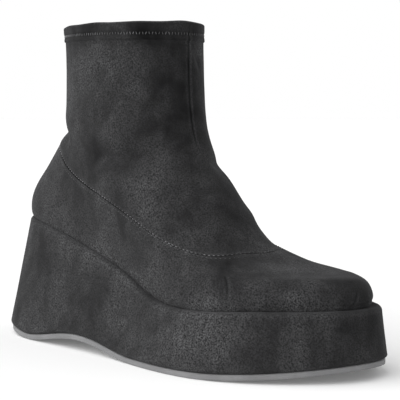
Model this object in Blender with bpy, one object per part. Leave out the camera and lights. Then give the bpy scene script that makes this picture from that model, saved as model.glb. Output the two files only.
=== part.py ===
"""Right ankle boot: a stretch shaft sewn to a suede foot upper, on a suede covered wedge with a rubber outsole.

The foot points to +X, its outer side is -Y, and the floor is z = 0. All lengths are in metres. The upper's
skin is a fan of closed rings: the first lies on the footbed's edge, the last is the collar.
"""

import math

import bmesh
import bpy
import numpy as np

# The last
FOOT_LENGTH = 0.246
BALL_WIDTH = 0.083
HEEL_LIFT = 0.0765
BALL_LIFT = 0.0345
TOE_LIFT = 0.0395
COUNTER_RISE = 0.0575
INSTEP_RISE = 0.0745
TOE_SWING = 0.0135
SHANK_SWING = -0.0022

# The shaft
COLLAR_HEIGHT = 0.195
SHAFT_DEPTH = 0.1035
SHAFT_WIDTH = 0.069
SHAFT_LEAN = 0.0325
HEM_DEPTH = 0.0112
HEM_STEP = 0.0007

# The walls
WALL = 0.0018
GAP = 0.0003

# The wedge
WELT_SIDE = 0.0046
WELT_TOE = 0.0108
WELT_ROUND = 0.0030
LOWER_ROUND = 0.0018
FLARE_BACK = 0.0132
FLARE_SIDE = 0.0118
FLARE_TOE = 0.0030

# The outsole
OUTSOLE_THICKNESS = 0.0036
OUTSOLE_INSET = 0.0010
ARCH_RISE = 0.0062
TOE_SPRING = 0.0068

# The insole
INSOLE_THICKNESS = 0.0035
INSOLE_EASE = 0.0008

# Where the outsole leaves the floor and meets it again, as shares of the foot's length
ARCH_BACK = 0.10
ARCH_FRONT = 0.56
SPRING_START = 0.72
SPRING_END = 1.05

# Number of points around a ring, and of rows on each piece of the skin
COLUMNS = 56
HALF = COLUMNS // 2
FOOT_ROWS = 14
SHAFT_ROWS = 11
HEM_ROWS = 2
ROUND_ROWS = 4
LOWER_ROWS = 2
SIDE_ROWS = 6

# Share of the foot's length, share of the lift from ball to heel, share of the lift from ball to toe
FOOTBED = (
    (0.00, 1.00, 0.0),
    (0.13, 0.89, 0.0),
    (0.28, 0.67, 0.0),
    (0.39, 0.47, 0.0),
    (0.48, 0.29, 0.0),
    (0.56, 0.09, 0.0),
    (0.65, 0.00, 0.0),
    (0.80, 0.00, 0.2),
    (1.00, 0.00, 1.0),
)

# Share of the foot's length, share of the shank's swing, share of the toe's swing
SWING = (
    (0.00, 0.0, 0.00),
    (0.25, 0.5, 0.00),
    (0.50, 1.0, 0.00),
    (0.75, 0.0, 0.24),
    (1.00, 0.0, 1.00),
)

# Places along a ring where its half width is given, in degrees from the back to the front
STATIONS = (30, 60, 90, 120, 150)

# Rings of the foot. back_x and front_x are shares of the foot's length, back_up is a share of the counter's
# rise and front_up of the instep's rise, and the half widths at the stations are shares of the ball's width.
FOOT_RINGS = (
    # back_x, back_up, front_x, front_up, then the half widths
    (0.000, 0.00, 1.000, 0.00, 0.282, 0.340, 0.378, 0.500, 0.305),
    (-0.015, 0.04, 1.018, 0.03, 0.306, 0.362, 0.392, 0.518, 0.333),
    (-0.020, 0.15, 1.015, 0.11, 0.304, 0.367, 0.404, 0.512, 0.318),
    (-0.015, 0.25, 0.987, 0.19, 0.296, 0.367, 0.410, 0.488, 0.285),
    (-0.002, 0.36, 0.932, 0.215, 0.282, 0.364, 0.414, 0.464, 0.255),
    (0.016, 0.46, 0.862, 0.255, 0.264, 0.360, 0.416, 0.438, 0.246),
    (0.040, 0.57, 0.784, 0.335, 0.247, 0.354, 0.413, 0.408, 0.236),
    (0.068, 0.71, 0.717, 0.52, 0.231, 0.349, 0.410, 0.386, 0.228),
    (0.099, 0.86, 0.656, 0.76, 0.215, 0.348, 0.407, 0.371, 0.221),
    (0.123, 1.00, 0.597, 1.00, 0.208, 0.354, 0.408, 0.363, 0.212),
)

# Rings of the shaft. back_x is a share of the shaft's lean, depth a share of the shaft's depth, up_back and
# up_front are shares of the way from the foot's last ring to the collar, and the half widths are shares of
# the shaft's width.
SHAFT_RINGS = (
    # back_x, up_back, depth, up_front, then the half widths
    (0.99, 0.20, 1.030, 0.24, 0.248, 0.430, 0.493, 0.432, 0.248),
    (1.01, 0.43, 1.000, 0.48, 0.249, 0.432, 0.496, 0.432, 0.248),
    (1.00, 0.71, 0.992, 0.73, 0.248, 0.432, 0.504, 0.434, 0.252),
    (0.96, 1.00, 1.000, 1.00, 0.248, 0.433, 0.510, 0.435, 0.256),
)

# The seam between foot and shaft: degrees from the back to the front, and the ring that it crosses
SEAM = (
    (0, 8.3),
    (36, 7.7),
    (65, 6.85),
    (91, 6.5),
    (109, 6.0),
    (127, 5.25),
    (141, 5.5),
    (157, 5.95),
    (180, 6.1),
)

# The welt and the flare from heel to toe: share of the foot's length, then shares of the three sizes
SPREAD = (
    # along, back, side, toe
    (0.00, 1.0, 0.0, 0.0),
    (0.20, 0.5, 0.5, 0.0),
    (0.45, 0.0, 1.0, 0.0),
    (0.80, 0.0, 0.5, 0.5),
    (1.00, 0.0, 0.0, 1.0),
)

# The rings keep the footbed's curve less and less up to this one
LAST_CURVED_RING = 8.0
CURVE_FADE = 1.5

SHARP_ANGLE = math.radians(38)

COLOURS = {
    # name: base colour, roughness
    "suede": ((0.036, 0.036, 0.038), 0.95),
    "stretch_suede": ((0.038, 0.038, 0.040), 0.95),
    "rubber": ((0.250, 0.250, 0.255), 0.60),
    "insole_cloth": ((0.030, 0.030, 0.032), 0.90),
}


def natural_spline(knots, values, at):
    """Reads the natural cubic through the values, one row for each knot, at the given places."""
    knots = np.asarray(knots, float)
    values = np.asarray(values, float)
    at = np.asarray(at, float)
    steps = np.diff(knots)
    count = len(knots)
    system = np.eye(count)
    right = np.zeros_like(values)
    for i in range(1, count - 1):
        system[i, i - 1] = steps[i - 1]
        system[i, i] = 2 * (steps[i - 1] + steps[i])
        system[i, i + 1] = steps[i]
        rise = (values[i + 1] - values[i]) / steps[i]
        right[i] = 6 * (rise - (values[i] - values[i - 1]) / steps[i - 1])
    bends = np.linalg.solve(system, right)
    first = np.clip(np.searchsorted(knots, at) - 1, 0, count - 2)
    shape = at.shape + (1,) * (values.ndim - 1)
    step = steps[first].reshape(shape)
    ahead = (at - knots[first]).reshape(shape) / step
    behind = 1 - ahead
    line = behind * values[first] + ahead * values[first + 1]
    sag = (behind**3 - behind) * bends[first] + (ahead**3 - ahead) * bends[first + 1]
    return line + sag * step**2 / 6


def closed_weights(controls, columns):
    """How much each control point of a closed cubic counts at each column."""
    wrap = 4
    turns = np.arange(-wrap, controls + wrap + 1)
    unit = np.eye(controls)[turns % controls]
    return natural_spline(turns, unit, np.arange(columns) * controls / columns)


def mixed(table, sizes, x):
    """Reads a table of shares along the foot, and adds up the sizes that the shares belong to."""
    table = np.asarray(table)
    lengths = table[:, 1:] @ np.asarray(sizes)
    return natural_spline(table[:, 0] * FOOT_LENGTH, lengths, x)


def footbed(x):
    """Height of the wedge's top, on which the foot stands."""
    inside = np.clip(x, 0.0, FOOT_LENGTH)
    return BALL_LIFT + mixed(FOOTBED, (HEEL_LIFT - BALL_LIFT, TOE_LIFT - BALL_LIFT), inside)


def centre_line(x):
    """How far the last's centre line lies to the inner side."""
    return mixed(SWING, (SHANK_SWING, TOE_SWING), x)


def tread(x):
    """Height of the outsole's underside: flat at the heel and the ball, with an arch and a toe spring."""
    share = np.asarray(x) / FOOT_LENGTH
    arch = np.clip((share - ARCH_BACK) / (ARCH_FRONT - ARCH_BACK), 0.0, 1.0)
    spring = np.clip((share - SPRING_START) / (SPRING_END - SPRING_START), 0.0, None)
    return ARCH_RISE * np.sin(math.pi * arch) ** 2 + TOE_SPRING * spring**2


def spread(x, back, side, toe):
    """A width that changes from the heel over the sides to the toe."""
    return mixed(SPREAD, (back, side, toe), np.clip(x, 0.0, FOOT_LENGTH))


def ring_sizes():
    """Rows of back_x, back_z, front_x, front_z and five half widths, from the footbed's edge to the collar."""
    rows = []
    for back_x, back_up, front_x, front_up, *widths in FOOT_RINGS:
        ends = [back_x * FOOT_LENGTH, HEEL_LIFT + back_up * COUNTER_RISE]
        ends += [front_x * FOOT_LENGTH, TOE_LIFT + front_up * INSTEP_RISE]
        rows.append(ends + [width * BALL_WIDTH for width in widths])
    back_start = rows[-1][1]
    front_start = rows[-1][3]
    for back_x, up_back, depth, up_front, *widths in SHAFT_RINGS:
        x = back_x * SHAFT_LEAN
        ends = [x, back_start + up_back * (COLLAR_HEIGHT - back_start)]
        ends += [x + depth * SHAFT_DEPTH, front_start + up_front * (COLLAR_HEIGHT - front_start)]
        rows.append(ends + [width * SHAFT_WIDTH for width in widths])
    return np.array(rows)


RINGS = ring_sizes()
COLLAR_RING = len(RINGS) - 1
ALONG = (1 - np.cos(np.radians((0, *STATIONS, 180)))) / 2
WEIGHTS = closed_weights(2 * (len(STATIONS) + 1), COLUMNS)


def skin(place):
    """Points of the outer skin, one for each column, where place says between which rings each lies."""
    place = np.broadcast_to(np.asarray(place, float), (COLUMNS,))
    rows = natural_spline(np.arange(len(RINGS)), RINGS, place)
    back_x, back_z, front_x, front_z = (rows[:, i, None] for i in range(4))
    half = np.pad(rows[:, 4:], ((0, 0), (1, 1)))
    x = back_x + ALONG * (front_x - back_x)
    z = back_z + ALONG * (front_z - back_z)
    y = centre_line(np.clip(x, 0.0, FOOT_LENGTH))
    outer = np.stack([x, y - half, z], axis=2)
    inner = np.stack([x, y + half, z], axis=2)[:, -2:0:-1]
    controls = np.concatenate([outer, inner], axis=1)
    points = np.einsum("ck,ckd->cd", WEIGHTS, controls)
    share = np.clip(points[:, 0] / FOOT_LENGTH, 0.0, 1.0)
    curve = footbed(points[:, 0]) - (HEEL_LIFT + share * (TOE_LIFT - HEEL_LIFT))
    points[:, 2] += np.clip(1 - place / LAST_CURVED_RING, 0.0, 1.0) ** CURVE_FADE * curve
    return points


def seam_places():
    """The ring that the seam crosses at each column, the same on both sides of the foot."""
    turn = np.degrees(2 * math.pi * np.arange(COLUMNS) / COLUMNS)
    return natural_spline(*np.array(SEAM).T, np.minimum(turn, 360 - turn))


def directions(grid):
    """Unit vectors across each row and out of the skin, for a grid of rows and columns."""
    around = np.roll(grid, -1, axis=1) - np.roll(grid, 1, axis=1)
    out = np.cross(around, np.gradient(grid, axis=0))
    across = np.cross(out, around)
    out = out / np.linalg.norm(out, axis=2, keepdims=True)
    across = across / np.linalg.norm(across, axis=2, keepdims=True)
    return across, out


def grown(ring, distance):
    """A ring moved outward in plan by the given distance at each column."""
    along = np.roll(ring, -1, axis=0) - np.roll(ring, 1, axis=0)
    out = np.stack([along[:, 1], -along[:, 0]], axis=1)
    out = out / np.linalg.norm(out, axis=1, keepdims=True)
    moved = ring.copy()
    moved[:, :2] += out * np.broadcast_to(distance, (COLUMNS,))[:, None]
    return moved


def at_height(ring, height):
    """A ring whose points are put at the given heights."""
    moved = ring.copy()
    moved[:, 2] = height
    return moved


def foot_outline():
    """The edge of the footbed, where the upper meets the wedge."""
    return skin(0.0)


def upper_walls():
    """Outer and inner rings of the foot upper and of the shaft, with the seam's gap between them."""
    seam = seam_places()
    hem_share = HEM_DEPTH / (RINGS[-1, 3] - RINGS[-2, 3])
    hem = COLLAR_RING - hem_share
    # rows lie closer together near the footbed, where the skin turns most
    foot = [seam * (i / FOOT_ROWS) ** 1.25 for i in range(FOOT_ROWS + 1)]
    shaft = [seam + (hem - seam) * i / SHAFT_ROWS for i in range(1, SHAFT_ROWS + 1)]
    collar = [hem + hem_share * i / HEM_ROWS for i in range(1, HEM_ROWS + 1)]
    outer = np.array([skin(place) for place in foot + shaft + collar])
    across, out = directions(outer)
    inner = outer - WALL * out
    # the upper's lower rim lies flat on the footbed, and the collar's rim is level across the wall
    rim = grown(outer[0], -WALL)
    inner[0] = at_height(rim, footbed(rim[:, 0]))
    inner[0, :, 2] += GAP
    outer[0, :, 2] += GAP
    inner[-1, :, 2] = outer[-1, :, 2]
    half_gap = across[FOOT_ROWS] * GAP / 2
    foot_outer = outer[: FOOT_ROWS + 1].copy()
    foot_inner = inner[: FOOT_ROWS + 1].copy()
    foot_outer[-1] -= half_gap
    foot_inner[-1] -= half_gap
    shaft_outer = outer[FOOT_ROWS:].copy()
    shaft_inner = inner[FOOT_ROWS:].copy()
    shaft_outer[0] += half_gap
    shaft_inner[0] += half_gap
    # the hem is folded cloth, so the wall steps out there
    raised = shaft_outer[SHAFT_ROWS:] + HEM_STEP * out[FOOT_ROWS + SHAFT_ROWS :]
    raised[-1, :, 2] = shaft_outer[-1, :, 2]
    shaft_outer = np.concatenate([shaft_outer[: SHAFT_ROWS + 1], raised])
    return (foot_outer, foot_inner), (shaft_outer, shaft_inner)


def wedge_rings():
    """The wedge's rings from the footbed's edge over the rounded welt down to the outsole."""
    foot = foot_outline()
    welt = spread(foot[:, 0], WELT_SIDE, WELT_SIDE, WELT_TOE)
    rings = [at_height(foot, footbed(foot[:, 0]))]
    for i in range(ROUND_ROWS + 1):
        turn = math.pi / 2 * i / ROUND_ROWS
        ring = grown(foot, welt - WELT_ROUND * (1 - math.sin(turn)))
        drop = WELT_ROUND * (1 - math.cos(turn))
        rings.append(at_height(ring, footbed(ring[:, 0]) - drop))
    edge = rings[-1]
    low = grown(edge, spread(edge[:, 0], FLARE_BACK, FLARE_SIDE, FLARE_TOE))
    low[:, 2] = tread(low[:, 0]) + OUTSOLE_THICKNESS + LOWER_ROUND
    for i in range(1, SIDE_ROWS + 1):
        rings.append(edge + (low - edge) * i / SIDE_ROWS)
    for i in range(1, LOWER_ROWS + 1):
        turn = math.pi / 2 * i / LOWER_ROWS
        ring = grown(low, -LOWER_ROUND * (1 - math.cos(turn)))
        height = tread(ring[:, 0]) + OUTSOLE_THICKNESS + LOWER_ROUND * (1 - math.sin(turn))
        rings.append(at_height(ring, height))
    return rings


def widest_ring():
    """The wedge's widest ring, just above its rounded lower edge."""
    return wedge_rings()[-1 - LOWER_ROWS]


def outsole_rings():
    """The outsole's upper and lower ring, inside the wedge's lower edge."""
    ring = grown(widest_ring(), -OUTSOLE_INSET)
    floor = tread(ring[:, 0])
    return [at_height(ring, floor + OUTSOLE_THICKNESS - GAP), at_height(ring, floor)]


def insole_rings():
    """The insole's upper and lower ring, inside the upper's lower rim."""
    ring = grown(foot_outline(), -(WALL + INSOLE_EASE))
    bed = footbed(ring[:, 0])
    return [at_height(ring, bed + INSOLE_THICKNESS), at_height(ring, bed + GAP)]


def origin():
    """The point on the floor below the middle of the boot's box."""
    low = widest_ring()
    middle = (low.min(axis=0) + low.max(axis=0)) / 2
    return np.array([middle[0], middle[1], 0.0])


def add_ring(shape, ring):
    """Adds the vertices of one ring."""
    start = origin()
    return [shape.verts.new(point - start) for point in ring]


def join_rings(shape, first, second):
    """Adds the faces between two rings."""
    for i in range(COLUMNS):
        j = (i + 1) % COLUMNS
        shape.faces.new((first[i], first[j], second[j], second[i]))


def close_ring(shape, ring):
    """Closes a ring with strips that run across the foot, so that they follow its curve."""
    for i in range(HALF):
        strip = [ring[i], ring[i + 1], ring[COLUMNS - i - 1], ring[(COLUMNS - i) % COLUMNS]]
        shape.faces.new(list(dict.fromkeys(strip)))


def material(name):
    """A plain material of the named colour."""
    base, roughness = COLOURS[name]
    made = bpy.data.materials.new(name)
    made.use_nodes = True
    shader = made.node_tree.nodes["Principled BSDF"]
    shader.inputs["Base Color"].default_value = (*base, 1.0)
    shader.inputs["Roughness"].default_value = roughness
    shader.inputs["Metallic"].default_value = 0.0
    return made


def place(name, shape, colour):
    """Turns the faces outward and puts the shape into the scene under its name."""
    bmesh.ops.recalc_face_normals(shape, faces=shape.faces)
    mesh = bpy.data.meshes.new(name)
    shape.to_mesh(mesh)
    shape.free()
    mesh.materials.append(material(colour))
    mesh.shade_smooth()
    mesh.set_sharp_from_angle(angle=SHARP_ANGLE)
    piece = bpy.data.objects.new(name, mesh)
    bpy.context.scene.collection.objects.link(piece)
    return piece


def build_wall(name, outer, inner, colour):
    """A tube with a wall, open at both ends, from its outer and inner rings."""
    shape = bmesh.new()
    loop = [add_ring(shape, ring) for ring in [*outer, *inner[::-1]]]
    for first, second in zip(loop, loop[1:] + loop[:1]):
        join_rings(shape, first, second)
    return place(name, shape, colour)


def build_block(name, rings, colour):
    """A solid from its rings, closed at both ends."""
    shape = bmesh.new()
    stack = [add_ring(shape, ring) for ring in rings]
    for first, second in zip(stack, stack[1:]):
        join_rings(shape, first, second)
    close_ring(shape, stack[0])
    close_ring(shape, stack[-1])
    return place(name, shape, colour)


def main():
    for old in list(bpy.data.objects):
        bpy.data.objects.remove(old, do_unlink=True)
    foot, shaft = upper_walls()
    build_block("outsole", outsole_rings(), "rubber")
    build_block("wedge", wedge_rings(), "suede")
    build_block("insole", insole_rings(), "insole_cloth")
    build_wall("upper", *foot, "suede")
    build_wall("shaft", *shaft, "stretch_suede")


if __name__ == "__main__":
    main()
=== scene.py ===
"""Looks of a right ankle boot: charcoal suede with stitched seams on a suede wrapped wedge and a grey outsole.

The frame gives the boot's solids. Each piece here stands for one of them, drawn finer from the same last: the
foot points to +X, its outer side is -Y and the floor is z = 0. A place on the upper is a ring, counted from the
footbed's edge to the collar, and a turn in degrees around it, from the back over the outer side.
"""

import math

import bpy
import numpy as np
from bpy.props import FloatProperty, FloatVectorProperty, IntProperty, PointerProperty
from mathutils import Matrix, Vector, noise


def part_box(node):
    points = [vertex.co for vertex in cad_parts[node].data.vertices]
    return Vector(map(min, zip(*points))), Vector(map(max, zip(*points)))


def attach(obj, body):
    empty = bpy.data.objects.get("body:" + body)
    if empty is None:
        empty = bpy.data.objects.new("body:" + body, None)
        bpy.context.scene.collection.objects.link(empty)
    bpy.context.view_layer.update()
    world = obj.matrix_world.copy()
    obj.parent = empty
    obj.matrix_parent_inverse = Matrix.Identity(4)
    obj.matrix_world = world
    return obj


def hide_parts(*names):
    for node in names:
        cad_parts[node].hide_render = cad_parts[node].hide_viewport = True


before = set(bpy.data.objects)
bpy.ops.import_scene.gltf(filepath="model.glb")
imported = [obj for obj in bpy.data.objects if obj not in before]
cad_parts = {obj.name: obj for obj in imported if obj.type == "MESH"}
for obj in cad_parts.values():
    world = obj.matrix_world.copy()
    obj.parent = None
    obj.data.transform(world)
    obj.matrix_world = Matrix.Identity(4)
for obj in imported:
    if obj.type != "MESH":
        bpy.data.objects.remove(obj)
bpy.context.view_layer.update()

bl_info = {
    "name": "Suede Wedge Boot",
    "version": (1, 0, 0),
    "blender": (4, 5, 0),
    "location": "3D View > Sidebar > Boot",
    "description": "Builds the visible pieces of a suede ankle boot on its solids, with a stage",
    "category": "Object",
}

BODY = "root"
# How far a visible piece may differ from its solid's box
FIT = 0.0025

# Share of the foot's length, share of the lift from ball to heel, share of the lift from ball to toe
FOOTBED = (
    (0.00, 1.00, 0.0),
    (0.13, 0.89, 0.0),
    (0.28, 0.67, 0.0),
    (0.39, 0.47, 0.0),
    (0.48, 0.29, 0.0),
    (0.56, 0.09, 0.0),
    (0.65, 0.00, 0.0),
    (0.80, 0.00, 0.2),
    (1.00, 0.00, 1.0),
)

# Share of the foot's length, share of the shank's swing, share of the toe's swing
SWING = (
    (0.00, 0.0, 0.00),
    (0.25, 0.5, 0.00),
    (0.50, 1.0, 0.00),
    (0.75, 0.0, 0.24),
    (1.00, 0.0, 1.00),
)

# Places along a ring where its half width is given, in degrees from the back to the front
STATIONS = (30, 60, 90, 120, 150)

# Rings of the foot: shares of foot length, counter rise, foot length and instep rise, then of the ball's width
FOOT_RINGS = (
    # back_x, back_up, front_x, front_up, then the half widths
    (0.000, 0.00, 1.000, 0.00, 0.282, 0.340, 0.378, 0.500, 0.305),
    (-0.015, 0.04, 1.018, 0.03, 0.306, 0.362, 0.392, 0.518, 0.333),
    (-0.020, 0.15, 1.015, 0.11, 0.304, 0.367, 0.404, 0.512, 0.318),
    (-0.015, 0.25, 0.987, 0.19, 0.296, 0.367, 0.410, 0.488, 0.285),
    (-0.002, 0.36, 0.932, 0.215, 0.282, 0.364, 0.414, 0.464, 0.255),
    (0.016, 0.46, 0.862, 0.255, 0.264, 0.360, 0.416, 0.438, 0.246),
    (0.040, 0.57, 0.784, 0.335, 0.247, 0.354, 0.413, 0.408, 0.236),
    (0.068, 0.71, 0.717, 0.52, 0.231, 0.349, 0.410, 0.386, 0.228),
    (0.099, 0.86, 0.656, 0.76, 0.215, 0.348, 0.407, 0.371, 0.221),
    (0.123, 1.00, 0.597, 1.00, 0.208, 0.354, 0.408, 0.363, 0.212),
)

# Rings of the shaft: shares of the lean, of the way up at the back, of the depth, of the way up at the front,
# and then of the shaft's width
SHAFT_RINGS = (
    # back_x, up_back, depth, up_front, then the half widths
    (0.99, 0.20, 1.030, 0.24, 0.248, 0.430, 0.493, 0.432, 0.248),
    (1.01, 0.43, 1.000, 0.48, 0.249, 0.432, 0.496, 0.432, 0.248),
    (1.00, 0.71, 0.992, 0.73, 0.248, 0.432, 0.504, 0.434, 0.252),
    (0.96, 1.00, 1.000, 1.00, 0.248, 0.433, 0.510, 0.435, 0.256),
)

# The seam between foot and shaft: turn, and the ring that it crosses
SEAM = (
    (0, 8.3),
    (36, 7.7),
    (65, 6.85),
    (91, 6.5),
    (109, 6.0),
    (127, 5.25),
    (141, 5.5),
    (157, 5.95),
    (180, 6.1),
)

# The welt and the flare from heel to toe: share of the foot's length, then shares of the three sizes
SPREAD = (
    # along, back, side, toe
    (0.00, 1.0, 0.0, 0.0),
    (0.20, 0.5, 0.5, 0.0),
    (0.45, 0.0, 1.0, 0.0),
    (0.80, 0.0, 0.5, 0.5),
    (1.00, 0.0, 0.0, 1.0),
)

# Soft troughs and ridges: turn and ring at the start, the middle and the end, the depth, which is negative for
# a ridge, and the half width, both as shares of the ball's width
CREASES = (
    # ankle: a long trough across the outer side, and the swell below it
    (50, 8.6, 92, 8.45, 152, 9.45, 0.034, 0.062),
    (66, 7.7, 104, 7.45, 142, 8.2, -0.018, 0.085),
    (84, 9.5, 110, 9.6, 140, 10.1, -0.009, 0.085),
    # a dent above the seam, behind the shank
    (70, 7.5, 82, 7.3, 96, 7.0, 0.011, 0.055),
    # folds where the instep bends
    (126, 8.4, 148, 7.9, 172, 8.3, 0.014, 0.060),
    (118, 7.2, 140, 7.0, 164, 7.4, 0.010, 0.055),
    (184, 9.0, 205, 8.75, 228, 8.9, 0.024, 0.055),
    (184, 7.4, 205, 7.2, 232, 7.3, -0.012, 0.060),
    (230, 8.3, 250, 8.1, 268, 8.6, 0.015, 0.065),
    # heel: a dent above the counter, and its swell
    (12, 9.3, 32, 8.9, 54, 8.5, 0.030, 0.050),
    (34, 9.8, 50, 9.6, 66, 9.4, -0.008, 0.060),
    (26, 8.3, 42, 7.9, 58, 7.4, -0.010, 0.032),
    (308, 8.6, 326, 8.7, 345, 9.0, 0.013, 0.060),
    # counter: where the stiffener ends
    (66, 0.9, 62, 3.0, 52, 6.0, 0.005, 0.060),
    # vamp: rounder shoulders beside its middle, a shallow trough behind the toe, and a full toe
    (108, 3.8, 130, 3.5, 154, 3.1, 0.022, 0.075),
    (252, 3.8, 230, 3.5, 206, 3.1, 0.009, 0.075),
    (150, 5.6, 178, 5.5, 206, 5.4, 0.010, 0.120),
    (150, 4.4, 184, 4.2, 214, 4.4, 0.009, 0.110),
    (150, 2.3, 184, 2.1, 216, 2.3, -0.008, 0.055),
    (150, 1.0, 184, 0.9, 216, 1.0, -0.012, 0.045),
    # shaft: loose waves of an empty stocking
    (70, 11.2, 95, 11.5, 128, 11.1, 0.007, 0.120),
    (160, 9.9, 162, 11.4, 163, 12.6, 0.012, 0.110),
    (245, 10.6, 275, 10.9, 300, 10.5, 0.012, 0.090),
    (240, 9.4, 262, 9.2, 290, 9.6, -0.010, 0.080),
    # a pucker under the hem beside the front seam
    (182, 12.4, 188, 12.1, 196, 11.7, 0.012, 0.030),
    (178, 12.3, 184, 11.9, 190, 11.4, -0.008, 0.028),
)

# Lighter and darker patches, partly the nap's own tone and partly painted shade and painted highlights: a point, how
# far it reaches, and how much
NAP_TONE_AND_PAINTED_LIGHT = (
    # x, y, z, reach, tone
    # painted shade on the shaft's front, which turns from the light
    (0.016, -0.021, 0.172, 0.020, -0.31),
    (0.017, -0.021, 0.146, 0.020, -0.31),
    (-0.022, -0.035, 0.160, 0.024, 0.18),
    (-0.052, -0.030, 0.150, 0.016, 0.10),
    (-0.030, -0.035, 0.117, 0.013, -0.21),
    (-0.004, -0.034, 0.121, 0.014, -0.24),
    (-0.088, -0.020, 0.122, 0.008, 0.10),
    (0.007, -0.038, 0.095, 0.017, 0.12),
    (0.050, -0.012, 0.085, 0.018, -0.12),
    (-0.045, -0.034, 0.065, 0.018, 0.26),
    (-0.098, -0.031, 0.085, 0.012, 0.08),
    (0.066, -0.022, 0.061, 0.017, -0.42),
    # painted highlights on the toe's top
    (0.099, -0.030, 0.048, 0.013, 0.14),
    (0.095, 0.004, 0.056, 0.016, 0.14),
    (0.124, 0.008, 0.050, 0.008, -0.16),
    # painted light on the wedge's outer side, which faces the light
    (0.010, -0.048, 0.024, 0.024, 0.15),
    (0.070, -0.050, 0.022, 0.026, 0.18),
    # painted shade on the wedge's front corner, which turns from the light
    (0.124, 0.020, 0.020, 0.028, -0.16),
    (-0.031, -0.042, 0.038, 0.012, 0.05),
    (0.079, -0.039, 0.041, 0.005, 0.14),
    # a painted highlight on the fold under the hem beside the front seam
    (0.012, 0.005, 0.180, 0.006, 0.26),
)

# Plain seams and pleats: turn and ring at the start and the end, and how strong they are
FRONT_SEAM = (177.5, 13.0, 175.8, 9.3)
BACK_SEAM = (0, 13.0, 0, 0.2)
PLAIN_SEAMS = (
    (*FRONT_SEAM, 0.6),
    (*BACK_SEAM, 0.75),
    (127, 3.0, 126.5, 1.1, 0.45),
    (233, 3.0, 233.5, 1.1, 0.45),
    (176, 1.9, 171, 0.4, 0.35),
    (188, 1.9, 191, 0.4, 0.35),
    (158, 1.2, 158, 0.4, 0.3),
    (203, 1.2, 204, 0.4, 0.3),
)

# The rings keep the footbed's curve less and less up to this one
LAST_CURVED_RING = 8.0
CURVE_FADE = 1.5
ARCH_BACK = 0.10
ARCH_FRONT = 0.56
SPRING_START = 0.72
SPRING_END = 1.05
BEVEL_START = 0.14
BEVEL_END = -0.04
DROP_START = 0.86
DROP_END = 1.00


class BootSizes(bpy.types.PropertyGroup):
    """Sizes of the last and of the pieces on it."""

    foot_length: FloatProperty(
        name="Foot Length", description="From the heel's back to the toe on the footbed", default=0.246, unit="LENGTH"
    )
    ball_width: FloatProperty(
        name="Ball Width", description="Width of the footbed at the ball", default=0.083, unit="LENGTH"
    )
    heel_lift: FloatProperty(
        name="Heel Lift", description="Height of the footbed at the heel", default=0.0765, unit="LENGTH"
    )
    ball_lift: FloatProperty(
        name="Ball Lift", description="Height of the footbed at the ball", default=0.0345, unit="LENGTH"
    )
    toe_lift: FloatProperty(
        name="Toe Lift", description="Height of the footbed at the toe", default=0.0395, unit="LENGTH"
    )
    counter_rise: FloatProperty(
        name="Counter Rise", description="Height of the heel's back above the footbed", default=0.0575, unit="LENGTH"
    )
    instep_rise: FloatProperty(
        name="Instep Rise", description="Height of the instep above the toe", default=0.0745, unit="LENGTH"
    )
    toe_swing: FloatProperty(
        name="Toe Swing", description="How far the toe lies to the inner side", default=0.0135, unit="LENGTH"
    )
    shank_swing: FloatProperty(
        name="Shank Swing", description="How far the waist lies to the inner side", default=-0.0022, unit="LENGTH"
    )
    collar_height: FloatProperty(
        name="Collar Height", description="Height of the collar", default=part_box("shaft")[1][2], unit="LENGTH"
    )
    shaft_depth: FloatProperty(
        name="Shaft Depth", description="Shaft from back to front", default=0.1035, unit="LENGTH"
    )
    shaft_width: FloatProperty(name="Shaft Width", description="Shaft across", default=0.069, unit="LENGTH")
    shaft_lean: FloatProperty(
        name="Shaft Lean", description="Shaft's back in front of the heel's", default=0.0325, unit="LENGTH"
    )
    hem_depth: FloatProperty(name="Hem Depth", description="Height of the folded hem", default=0.0112, unit="LENGTH")
    hem_step: FloatProperty(name="Hem Step", description="How proud the hem stands", default=0.0007, unit="LENGTH")
    wall: FloatProperty(name="Wall", description="Thickness of cloth and lining", default=0.0018, unit="LENGTH")
    welt_side: FloatProperty(
        name="Welt Side", description="Width of the wedge's top beside the upper", default=0.0046, unit="LENGTH"
    )
    welt_toe: FloatProperty(
        name="Welt Toe", description="Width of the wedge's top before the toe", default=0.0108, unit="LENGTH"
    )
    welt_round: FloatProperty(
        name="Welt Round", description="Radius of the wedge's top edge", default=0.0030, unit="LENGTH"
    )
    lower_round: FloatProperty(
        name="Lower Round", description="Radius of the wedge's lower edge", default=0.0018, unit="LENGTH"
    )
    flare_back: FloatProperty(
        name="Flare Back", description="How far the wedge spreads at the heel", default=0.0132, unit="LENGTH"
    )
    flare_side: FloatProperty(
        name="Flare Side", description="How far the wedge spreads at the waist", default=0.0118, unit="LENGTH"
    )
    flare_toe: FloatProperty(
        name="Flare Toe", description="How far the wedge spreads at the toe", default=0.0030, unit="LENGTH"
    )
    outsole_thickness: FloatProperty(
        name="Outsole Thickness", description="Thickness of the outsole", default=0.0036, unit="LENGTH"
    )
    outsole_inset: FloatProperty(
        name="Outsole Inset", description="Outsole behind the wedge's edge", default=0.0010, unit="LENGTH"
    )
    arch_rise: FloatProperty(name="Arch Rise", description="Height of the arch", default=0.0062, unit="LENGTH")
    toe_spring: FloatProperty(name="Toe Spring", description="Rise of the toe", default=0.0068, unit="LENGTH")
    heel_bevel: FloatProperty(name="Heel Bevel", description="Rise of the heel's end", default=0.0030, unit="LENGTH")
    toe_drop: FloatProperty(
        name="Toe Drop", description="How far the wedge's top sinks before the toe", default=0.0018, unit="LENGTH"
    )
    insole_thickness: FloatProperty(
        name="Insole Thickness", description="Thickness of the insole", default=0.0035, unit="LENGTH"
    )
    insole_ease: FloatProperty(
        name="Insole Ease", description="Room between insole and upper", default=0.0008, unit="LENGTH"
    )
    columns: IntProperty(name="Columns", description="Points around a ring, a multiple of four", default=256)


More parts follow.
